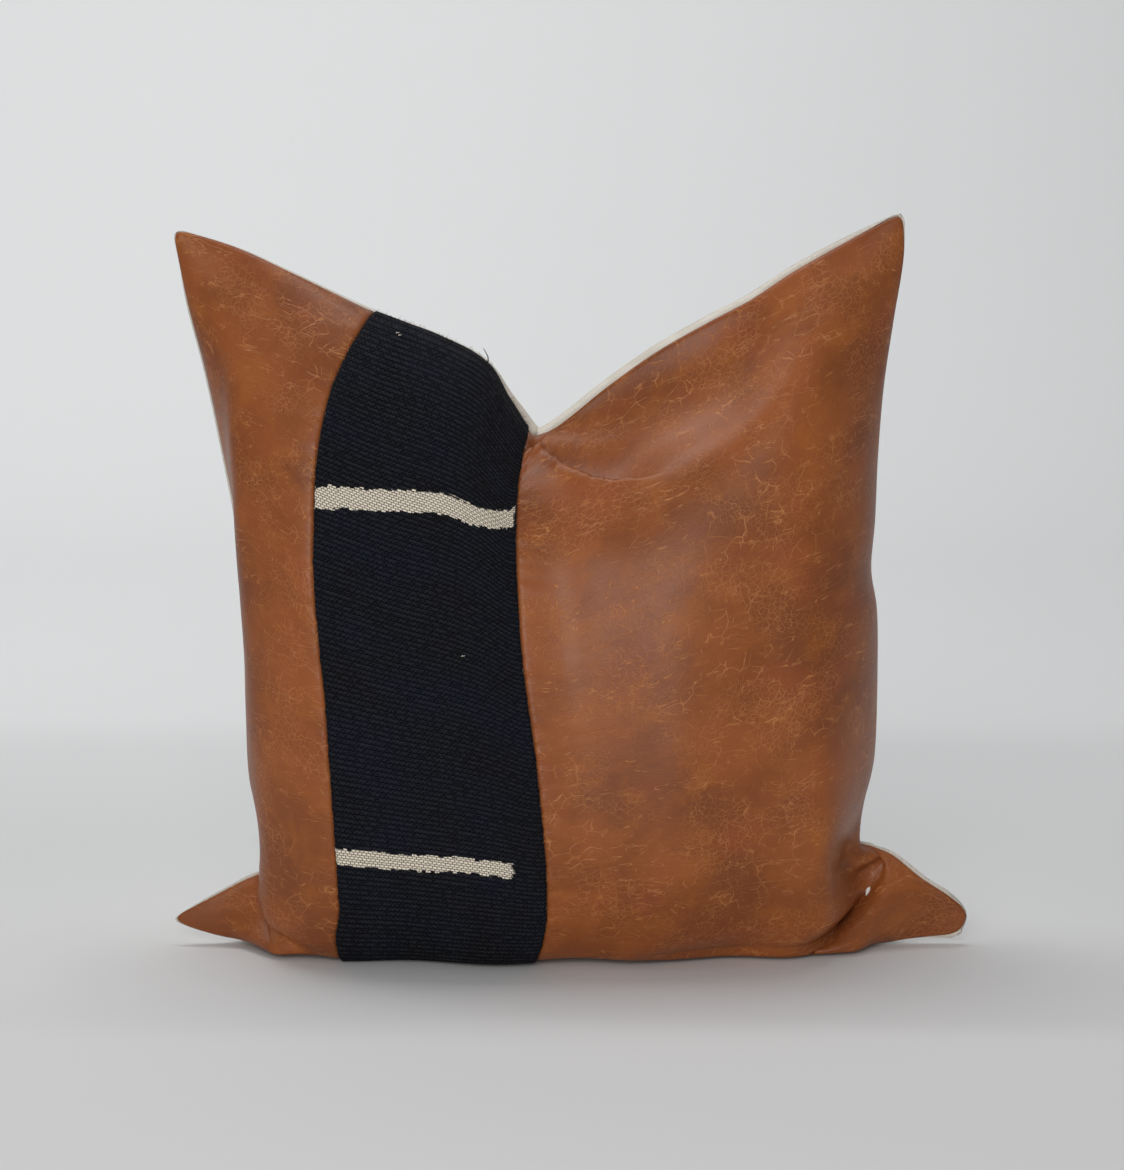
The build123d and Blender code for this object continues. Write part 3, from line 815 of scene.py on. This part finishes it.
def mudcloth_paint():
    """Hand-woven black cotton with two pale bars."""
    p = Paint("mudcloth")
    place = p.warped(p.cloth(), 120.0, 0.35 * MM)
    threads = weave(p, place, WARP, RIB / 2)
    yarn = p.noise(p.cloth((3.0, 1.0, 1.0)), 700.0, 3.0, 0.7)
    fade = p.noise(p.cloth(), 22.0, 3.0, 0.5)
    black = p.mix(p.ramp(fade, 0.35, 0.7), CLOTH_BLACK, CLOTH_BLUE)
    black = p.mix(p.ramp(yarn, 0.45, 0.8, 0.0, 0.6), black, CLOTH_WORN)
    cream = p.mix(p.ramp(yarn, 0.35, 0.7), CREAM_SHADE, CREAM)
    # mask for painted shade in the gaps between threads: 0 in the gaps, 1 on the threads' tops
    gap_shade_mask = p.ramp(threads, 0.05, 0.55, 0.0, 1.0)
    stained = p.ramp(p.noise(p.cloth(), 260.0, 2.0, 0.7), 0.56, 0.72, 0.0, 0.5)
    cream = p.mix(stained, cream, CREAM_STAIN)
    cream = p.mix(gap_shade_mask, CREAM_GAP_SHADE, cream)
    upper = bar_mask(p, p.cloth(), UPPER_BAR, UPPER_BAR_HALF, UPPER_BAR_END)
    lower = bar_mask(p, p.cloth(), LOWER_BAR, LOWER_BAR_HALF, LOWER_BAR_END)
    bars = p.math("MAXIMUM", upper, lower)
    # painted shade in the gaps between the threads, where the weave's relief dips
    black = p.mix(p.ramp(threads, 0.1, 0.85), CLOTH_GAP_SHADE, black)
    # painted highlight: the rib crests painted paler, broken up in patches
    ribs = p.bands(place, RIB_WAVE, 0.3, "Y")
    patchy = p.ramp(p.noise(p.cloth(), 330.0, 2.0, 0.5), 0.35, 0.6, 0.05, 0.95)
    black = p.mix(p.math("MULTIPLY", p.ramp(ribs, 0.45, 0.9), patchy), black, CLOTH_RIB_HIGHLIGHT)
    p.set(Base_Color=p.mix(bars, black, cream), Roughness=0.95, Specular_IOR_Level=0.12)
    normal = p.bump(threads, 0.7 * MM, 0.9)
    normal = p.bump(yarn, 0.25 * MM, 0.7, normal)
    p.set(Normal=normal)
    return p.material


def canvas_paint():
    """Natural cotton canvas in a plain weave."""
    p = Paint("canvas")
    place = p.warped(p.cloth(), 60.0, 0.5 * MM)
    threads = weave(p, place, 1.3 * MM, 0.65 * MM)
    slubs = p.noise(p.cloth((1.0, 9.0, 1.0)), 55.0, 3.0, 0.6)
    colour = p.mix(p.ramp(slubs, 0.35, 0.7), CANVAS_SHADE, CANVAS_PALE)
    # painted shade in the gaps between threads, where the weave's relief dips
    colour = p.mix(p.ramp(threads, 0.0, 0.5), CANVAS_GAP_SHADE, colour)
    seeds = p.ramp(p.noise(p.cloth(), 520.0, 1.0, 0.5), 0.74, 0.80, 0.0, 0.5)
    colour = p.mix(seeds, colour, CANVAS_SEED)
    p.set(Base_Color=colour, Roughness=0.88, Specular_IOR_Level=0.2, Sheen_Weight=0.08)
    normal = p.bump(threads, 0.22 * MM, 0.7)
    normal = p.bump(slubs, 0.25 * MM, 0.5, normal)
    p.set(Normal=normal)
    return p.material


def fibre_paint(name, light, dark, scale, roughness):
    """Thread, tape or wadding: two close shades that run along the fibres, and a fine relief."""
    p = Paint(name)
    place = p.node("TexCoord", {}, None, "Object")
    fibres = p.noise(place, scale, 4.0, 0.65)
    p.set(Base_Color=p.mix(p.ramp(fibres, 0.35, 0.68), dark, light), Roughness=roughness)
    p.set(Specular_IOR_Level=0.25, Sheen_Weight=0.1, Normal=p.bump(fibres, 0.12 * MM, 0.8))
    return p.material


def tape_paint():
    """Zipper tape: a fine twill."""
    p = Paint("zipper_tape")
    place = p.node("TexCoord", {}, None, "Object")
    wave_height = p.ramp(p.bands(place, 420.0, 0.6, "DIAGONAL"), 0.2, 0.8)
    p.set(Base_Color=p.mix(wave_height, rgb(196, 184, 164), rgb(222, 212, 194)), Roughness=0.85)
    p.set(Sheen_Weight=0.1, Normal=p.bump(wave_height, 0.12 * MM, 0.7))
    return p.material


def smooth_paint(name, light, dark, roughness, coat):
    """Moulded or enamelled trim with faint handling marks."""
    p = Paint(name)
    place = p.node("TexCoord", {}, None, "Object")
    marks = p.noise(place, 900.0, 3.0, 0.6)
    wear = p.noise(place, 160.0, 3.0, 0.6)
    p.set(Base_Color=p.mix(p.ramp(wear, 0.4, 0.7), light, dark), Coat_Weight=coat, Coat_Roughness=0.2)
    p.set(Roughness=p.ramp(marks, 0.3, 0.7, roughness - 0.08, roughness + 0.08))
    p.set(Normal=p.bump(marks, 0.03 * MM, 0.6))
    return p.material


PAINTS = {
    "leather": leather_paint(),
    "mudcloth": mudcloth_paint(),
    "canvas": canvas_paint(),
    "dark_thread": fibre_paint("dark_thread", rgb(70, 52, 44), rgb(40, 30, 28), 1800.0, 0.75),
    "pale_thread": fibre_paint("pale_thread", rgb(228, 220, 204), rgb(196, 186, 168), 1800.0, 0.75),
    "zipper_tape": tape_paint(),
    "zipper_coil": smooth_paint("zipper_coil", rgb(222, 214, 198), rgb(204, 194, 176), 0.36, 0.1),
    "zipper_metal": smooth_paint("zipper_metal", rgb(206, 198, 182), rgb(176, 168, 152), 0.32, 0.3),
    "casing": fibre_paint("casing", rgb(238, 238, 234), rgb(222, 222, 218), 600.0, 0.9),
    "filling": fibre_paint("filling", rgb(246, 246, 246), rgb(228, 228, 228), 220.0, 0.95),
}


# ---- the cover ---------------------------------------------------------------------------
FRONT, BACK = inflate()
FRONT = calm_beside_strip(FRONT)
MIDDLE = (FRONT + BACK) / 2


def ends(up):
    """How far each row is from the cloth's nearer cut end."""
    return np.minimum(up, 1 - up)[None, :] * SIDE


def sew(name, node, slot, inner, rise, across, up, side):
    """A sheet of the cover that rises this far, as vectors, from its inner face."""
    piece = shell(name, inner, inner + rise, across, up, side, PAINTS[slot])
    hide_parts(node)


def leather_panel(name, node, strip_seam, side_seam):
    """One leather panel: tucked and puckered where the strip is sewn on, rounded at its edges."""
    across = shares(min(strip_seam, side_seam), max(strip_seam, side_seam), 2 * MM)
    up = shares(0, 1, 2 * MM)
    grid = cover(-1, across, up)
    from_strip = np.abs(across - strip_seam)[:, None] * SIDE
    from_side = np.abs(across - side_seam)[:, None] * SIDE
    ridden = (1 - np.exp(-from_strip / (8 * MM))) * (1 + 3.6 * np.exp(-from_strip / (90 * MM)))
    ridden = (ridden + 0.8 * np.exp(-from_strip / (6 * MM))) * MM
    lift = GROUND_GAP + LEATHER_THICK + ridden * ease(up * SIDE, 4 * MM, 30 * MM)[None, :]
    lay_on_ground(grid, lift)
    open_zipper(grid, up, -1, lift)
    normals = outward(grid, -1)
    along = (up * SIDE)[None, :]
    seed = 3 if side_seam else 5
    tuck = (0.9 + 0.5 * waves(along, seed, 0.0075, 0.011, 0.017)) * np.exp(-from_strip / (4 * MM))
    pucker = 0.45 * waves(along + 0.3 * from_strip, seed + 1, 0.013, 0.021, 0.034)
    pucker = pucker * np.exp(-from_strip / (15 * MM))
    grid -= normals * ((tuck + pucker) * MM)[..., None]
    edge = np.minimum(np.minimum(from_strip, from_side), ends(up))
    thick = 0.15 * MM + (LEATHER_THICK - 0.15 * MM) * edge_round(edge, 1.8 * MM)
    sew(name, node, "leather", grid, normals * thick[..., None], across, up, -1)


def woven_strip():
    """The strip of hand-woven cloth, proud of the leather, with uneven edges and weft ribs."""
    across = shares(LEFT_SEAM, RIGHT_SEAM, 1.3 * MM)
    up = shares(0, 1, 1 * MM)
    grid = cover(-1, across, up)
    lift = np.full((len(across), 1), GROUND_GAP + STRIP_THICK + 0.3 * MM)
    lay_on_ground(grid, lift)
    open_zipper(grid, up, -1, lift)
    normals = outward(grid, -1)
    from_left = (across - LEFT_SEAM)[:, None] * SIDE
    from_right = (RIGHT_SEAM - across)[:, None] * SIDE
    along = (up * SIDE)[None, :]
    aside = np.gradient(grid, axis=0)
    aside /= np.linalg.norm(aside, axis=2, keepdims=True)
    slack = waves(along, 7, 0.009, 0.016, 0.031) * np.exp(-from_left / (4 * MM))
    slack = slack + waves(along, 8, 0.008, 0.015, 0.027) * np.exp(-from_right / (4 * MM))
    grid += aside * (0.55 * MM * slack)[..., None]
    edge = np.minimum(np.minimum(from_left, from_right), ends(up))
    place = across[:, None] * SIDE
    wander = 0.5 * MM * waves(place, 11, 0.023, 0.041)
    ribs = np.cos(2 * np.pi * (along + wander) / RIB) * (0.7 + 0.3 * np.cos(2 * np.pi * place / WARP))
    uneven = 0.18 * waves(along, 12, 0.019, 0.047, 0.083)
    thick = 0.2 * MM + (STRIP_THICK - 0.2 * MM) * edge_round(edge, 2.2 * MM)
    thick = thick + (0.36 * ribs + uneven) * MM * edge_round(edge, 3 * MM)
    sew("woven_strip", "mudcloth_strip", "mudcloth", grid, normals * thick[..., None], across, up, -1)


def edge_out(line, turn):
    """Unit directions in the seam plane, out of the cover at each point of an edge."""
    run = np.gradient(line, axis=0)
    out = np.stack([-turn * run[:, 2], 0 * run[:, 0], turn * run[:, 0]], 1)
    return out / np.linalg.norm(out, axis=1, keepdims=True)


def roll(distance):
    """How a turned edge swells: nothing at the seam, most a few millimetres in, then fading."""
    place = distance / (5 * MM)
    return place * np.exp(1 - place)


def canvas_back():
    """The canvas back, whose turned edge swells past the seam and shows as a pale line."""
    across = shares(0, 1, 2.5 * MM)
    up = shares(0, 1, 2.5 * MM)
    grid = cover(1, across, up)
    top, left, right = (np.interp(even, *knots) * MM for even, knots in (
        (across, ROLL_TOP), (up, ROLL_LEFT), (up, ROLL_RIGHT)
    ))
    top_out = edge_out(grid[:, -1], 1)
    left_out = edge_out(grid[0], 1)
    right_out = edge_out(grid[-1], -1)
    from_top = (1 - up)[None, :] * SIDE
    from_left = across[:, None] * SIDE
    from_right = (1 - across)[:, None] * SIDE
    grid += (top[:, None] * roll(from_top))[..., None] * top_out[:, None, :]
    grid += (left[None, :] * roll(from_left))[..., None] * left_out[None, :, :]
    grid += (right[None, :] * roll(from_right))[..., None] * right_out[None, :, :]
    lift = np.full((len(across), 1), GROUND_GAP + CANVAS_THICK)
    lay_on_ground(grid, lift)
    open_zipper(grid, up, 1, lift)
    normals = outward(grid, 1)
    edge = np.minimum(np.minimum(from_left, from_right), ends(up))
    thick = 0.15 * MM + (CANVAS_THICK - 0.15 * MM) * edge_round(edge, 1.8 * MM)
    rise = normals * thick[..., None]
    sew("canvas_back", "back_panel", "canvas", grid, rise, across, up, 1)


def strip_stitches(name, node, seam):
    """The lockstitches in the groove between the strip and the leather."""
    up = shares(0.02, 0.995, 2 * MM)
    trio = cover(-1, np.array([seam - 0.004, seam, seam + 0.004]), up)
    out = outward(trio, -1)[1]
    path = trio[1] + 0.1 * MM * out
    path[:, 2] = np.maximum(path[:, 2], 2.4 * MM)
    stitches(name, node, [(path, out)], 3 * MM, 2.3 * MM, 0.32 * MM, "dark_thread")


def edge_stitches():
    """The stitches round the sides and top, where the front and the back are joined."""
    even = shares(0, 1, 2 * MM)
    inner = (even > 0.025) & (even < 0.975)
    grid = cover(-1, even, even)
    runs = []
    for line, turn in ((grid[0], 1), (grid[:, -1], 1), (grid[-1], -1)):
        out = edge_out(line, turn)
        runs.append(((line - 1.3 * MM * out)[inner], out[inner]))
    stitches("edge_stitches", "cover_edge_seam", runs, 3.2 * MM, 2.4 * MM, 0.3 * MM, "pale_thread")


# ---- the insert --------------------------------------------------------------------------
def insert_grid(side, margin, gap, least):
    """One side of the insert: the cover's shape, gap inside it and clear of the zipper."""
    even = np.linspace(margin, 1 - margin, 97)
    front = cover(-1, even, even)
    back = cover(1, even, even)
    middle = (front + back) / 2
    own = front if side < 0 else back
    room = np.linalg.norm(middle - own, axis=2, keepdims=True)
    moved = own - outward(own, side) * np.minimum(gap, 0.6 * room)
    edge = np.minimum(np.minimum(even, 1 - even)[:, None], np.minimum(even, 1 - even)[None, :]) - margin
    full = np.maximum(edge_round(edge, 0.10), least)[..., None]
    grid = middle * (1 - full) + moved * full
    beside_strip = np.exp(-(((even - 0.52) / 0.07) ** 2))[:, None]
    grid[..., 2] -= LIP_CLEAR * beside_strip * ease(even, 0.80, 0.93)[None, :]
    over = (1 - ease(np.abs(grid[..., 1]), CHANNEL_HALF, CHANNEL_HALF + 9 * MM))
    over = over * (1 - ease(np.abs(grid[..., 0]), ZIP_HALF + 12 * MM, ZIP_HALF + 28 * MM))
    floor = 4 * MM + 0.5 * gap + (CHANNEL_TOP - 4 * MM) * over
    grid[..., 2] = np.maximum(grid[..., 2], floor)
    waist = ease(np.abs(2 * even - 1), 0.80, 0.94)[:, None]
    waist = waist * np.exp(-(((even - 0.15) / 0.075) ** 2))[None, :]
    grid[..., 0] -= np.sign(grid[..., 0]) * WAIST_CLEAR * waist
    return grid, even


def insert():
    """The insert: two sheets of casing sewn round their edge, and the filling inside."""
    outlines = []
    for side, name in ((-1, "front"), (1, "back")):
        grid, even = insert_grid(side, 0.03, 3 * MM, 0.02)
        inner = grid - outward(grid, side) * 0.4 * MM
        piece = shell("insert_" + name, inner, grid, even, even, side, PAINTS["casing"])
        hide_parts("insert_casing_" + name)
        outlines.append(grid)
    middle = (outlines[0] + outlines[1]) / 2
    path = np.vstack([middle[0], middle[1:-1, -1], middle[-1][::-1], middle[1:-1, 0][::-1]])
    out = np.repeat([[0.0, 1.0, 0.0]], len(path), 0)
    stitches("insert_stitches", "insert_edge_seam", [(path, out)], 4 * MM, 3 * MM, 0.25 * MM, "pale_thread")
    front, even = insert_grid(-1, 0.036, 5 * MM, 0.03)
    back, even = insert_grid(1, 0.036, 5 * MM, 0.03)
    filling = shell("filling", back, front, even, even, -1, PAINTS["filling"])
    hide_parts("insert_fill")


# ---- small things ------------------------------------------------------------------------
def thread_end(name, points, radius, slot):
    """A loose end of yarn along points, thinner towards its tip."""
    path = cubic(points, 6)
    run = np.gradient(path, axis=0)
    run /= np.linalg.norm(run, axis=1, keepdims=True)
    aside = np.cross(run, [0.0, 1.0, 0.1])
    aside /= np.linalg.norm(aside, axis=1, keepdims=True)
    over = np.cross(run, aside)
    turn = SIXTHS[None, :, None]
    width = radius * np.linspace(1, 0.45, len(path))[:, None, None]
    rings = path[:, None, :] + width * (np.cos(turn) * aside[:, None, :] + np.sin(turn) * over[:, None, :])
    tube_object(name, rings, [len(path)], PAINTS[slot])


def loose_ends():
    """A yarn end that stands up from the strip's top edge, and specks of pale lint on the strip."""
    root = cover(-1, np.array([YARN_ACROSS]), np.array([1.0]))[0, 0]
    bends = ((0, -1, -2), (0.5, -1.5, 3), (-0.8, -1, 6), (-2.2, 0, 8.5))
    thread_end("yarn_end", root + np.array(bends) * MM, 0.4 * MM, "dark_thread")
    for i, (across, up) in enumerate(LINT):
        near = np.array([-0.004, 0, 0.004])
        trio = cover(-1, across + near, up + near)
        out = outward(trio, -1)[1, 1]
        root = trio[1, 1] + out * (STRIP_THICK + 0.25 * MM)
        bends = ((-0.9, 0, -0.2), (-0.3, 0, 0.3), (0.4, 0, 0.1), (0.9, 0, 0.5))
        thread_end(f"lint_{i}", root + np.array(bends) * MM, 0.28 * MM, "pale_thread")


def fuzz():
    """Short fibres that stand out of the woven strip, mostly along its top edge."""
    random = np.random.RandomState(4)
    count = FUZZ_COUNT
    across = np.sort(random.uniform(LEFT_SEAM + 0.002, RIGHT_SEAM - 0.002, count))
    up = 1 - random.exponential(0.010, count).clip(0, 0.12)
    base = cover(-1, across, np.linspace(0.86, 1, 120))
    out = outward(base, -1)
    level = np.round((up - 0.86) / 0.14 * 119).astype(int)
    pick = np.arange(count)
    proud = STRIP_THICK * np.clip((1 - up) * SIDE / (2 * MM), 0.2, 1)
    root = base[pick, level] + out[pick, level] * proud[:, None]
    lean = out[pick, level] * 0.6 + random.normal(0, 0.45, (count, 3)) + np.array([0, 0, 0.5])
    lean /= np.linalg.norm(lean, axis=1, keepdims=True)
    bend = random.normal(0, 0.5, (count, 3))
    length = random.uniform(0.8, 2.6, count)[:, None] * MM
    aside = np.cross(lean, [0.3, 0.9, 0.2])
    aside /= np.linalg.norm(aside, axis=1, keepdims=True)
    over = np.cross(lean, aside)
    rings = []
    for share, width in ((0, 1), (0.5, 0.8), (1, 0.4)):
        centre = root + length * (share * lean + share**2 * 0.5 * bend)
        radius = FUZZ_RADIUS * width
        rings.append(np.stack([centre + radius * (np.cos(a) * aside + np.sin(a) * over) for a in SIXTHS], 1))
    rings = np.stack(rings, 1).reshape(-1, 6, 3)
    tube_object("strip_fuzz", rings, [3] * count, PAINTS["mudcloth"])


def paint_zipper():
    """The zipper is the CAD's own pieces, which only get their finish here."""
    for name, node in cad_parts.items():
        if name.startswith("zipper_"):
            kind = name.rsplit("_", 1)[0]
            paint = PAINTS.get(kind, PAINTS["zipper_metal"])
            if kind == "zipper_stitches":
                paint = PAINTS["pale_thread"]
            for place in node.material_slots:
                place.material = paint


# ---- camera, ground and light ------------------------------------------------------------
AIM = Vector((-0.025 * WIDE, 0.0, 0.497 * TALL))
CAMERA_DISTANCE = 2.0
CAMERA_RISE = math.radians(8.0)
GROUND_REACH = 3.2
WALL_DISTANCE = 2.7
WALL_HEIGHT = 3.0
COVE = 0.9
LENS = 102.6
SENSOR = 36
AMBIENT = 0.30


def camera():
    data = bpy.data.cameras.new("camera")
    data.lens = LENS
    data.sensor_width = SENSOR
    made = bpy.data.objects.new("camera", data)
    bpy.context.collection.objects.link(made)
    away = Vector((0.0, -math.cos(CAMERA_RISE), math.sin(CAMERA_RISE)))
    made.location = AIM + CAMERA_DISTANCE * away
    made.rotation_euler = (-away).to_track_quat("-Z", "Y").to_euler()
    bpy.context.scene.camera = made


def studio():
    """A pale sheet that runs along the ground and curves up behind, with painted shade and painted light
    graded into its colour by distance.
    """
    turn = np.linspace(0, np.pi / 2, 13)
    section = [(-GROUND_REACH, 0.0)]
    section += [(WALL_DISTANCE - COVE + COVE * math.sin(a), COVE - COVE * math.cos(a)) for a in turn]
    section.append((WALL_DISTANCE, WALL_HEIGHT))
    points = [(x, y, z) for x in (-GROUND_REACH, GROUND_REACH) for y, z in section]
    count = len(section)
    faces = [(i, i + count, i + count + 1, i + 1) for i in range(count - 1)]
    mesh = bpy.data.meshes.new("studio_sheet")
    mesh.from_pydata(points, [], faces)
    mesh.polygons.foreach_set("use_smooth", [True] * len(faces))
    p = Paint("studio_sheet")
    parts = p.node("SeparateXYZ", {"Vector": p.node("TexCoord", {}, None, "Object")}).node
    away = parts.outputs["Y"]
    # painted shade and painted light: the colour steps darker on the floor behind the pillow, paler towards
    # the cove and palest up the wall
    ground = p.mix(p.ramp(away, -0.1, 0.35), rgb(223, 223, 223), rgb(213, 213, 213))
    ground = p.mix(p.ramp(away, 0.62, 0.80), ground, rgb(220, 220, 220))
    p.set(Base_Color=p.mix(p.ramp(away, 1.2, 2.4), ground, rgb(228, 229, 229)), Roughness=0.85)
    p.set(Specular_IOR_Level=0.1)
    mesh.materials.append(p.material)
    sheet = bpy.data.objects.new("studio_sheet", mesh)
    bpy.context.collection.objects.link(sheet)


def softbox(name, place, size, power, colour, aim):
    data = bpy.data.lights.new(name, "AREA")
    data.shape = "RECTANGLE"
    data.size, data.size_y = size
    data.energy = power
    data.color = colour
    light = bpy.data.objects.new(name, data)
    bpy.context.collection.objects.link(light)
    light.location = place
    light.rotation_euler = (aim - Vector(place)).to_track_quat("-Z", "Y").to_euler()


def lights():
    softbox("key", (-0.25, -1.8, 0.65), (0.9, 0.9), 15.5, (1.0, 0.985, 0.965), AIM)
    softbox("overhead", (-0.5, 0.40, 2.4), (2.6, 0.9), 18, (0.98, 0.99, 1.0), Vector((-0.45, 0.85, 1.0)))
    softbox("wall", (-0.6, 0.8, 2.2), (2.4, 0.5), 26, (1.0, 1.0, 1.0), Vector((-0.5, WALL_DISTANCE, 0.2)))
    world = bpy.data.worlds.new("world")
    world.use_nodes = True
    background = world.node_tree.nodes["Background"]
    background.inputs["Color"].default_value = (0.86, 0.88, 0.9, 1)
    background.inputs["Strength"].default_value = AMBIENT
    bpy.context.scene.world = world
    bpy.context.scene.view_settings.view_transform = "Standard"


camera()
studio()
lights()
insert()
leather_panel("leather_left", "leather_panel_left", LEFT_SEAM, 0.0)
leather_panel("leather_right", "leather_panel_right", RIGHT_SEAM, 1.0)
woven_strip()
canvas_back()
strip_stitches("strip_stitches_left", "strip_seam_left", LEFT_SEAM)
strip_stitches("strip_stitches_right", "strip_seam_right", RIGHT_SEAM)
edge_stitches()
loose_ends()
fuzz()
paint_zipper()
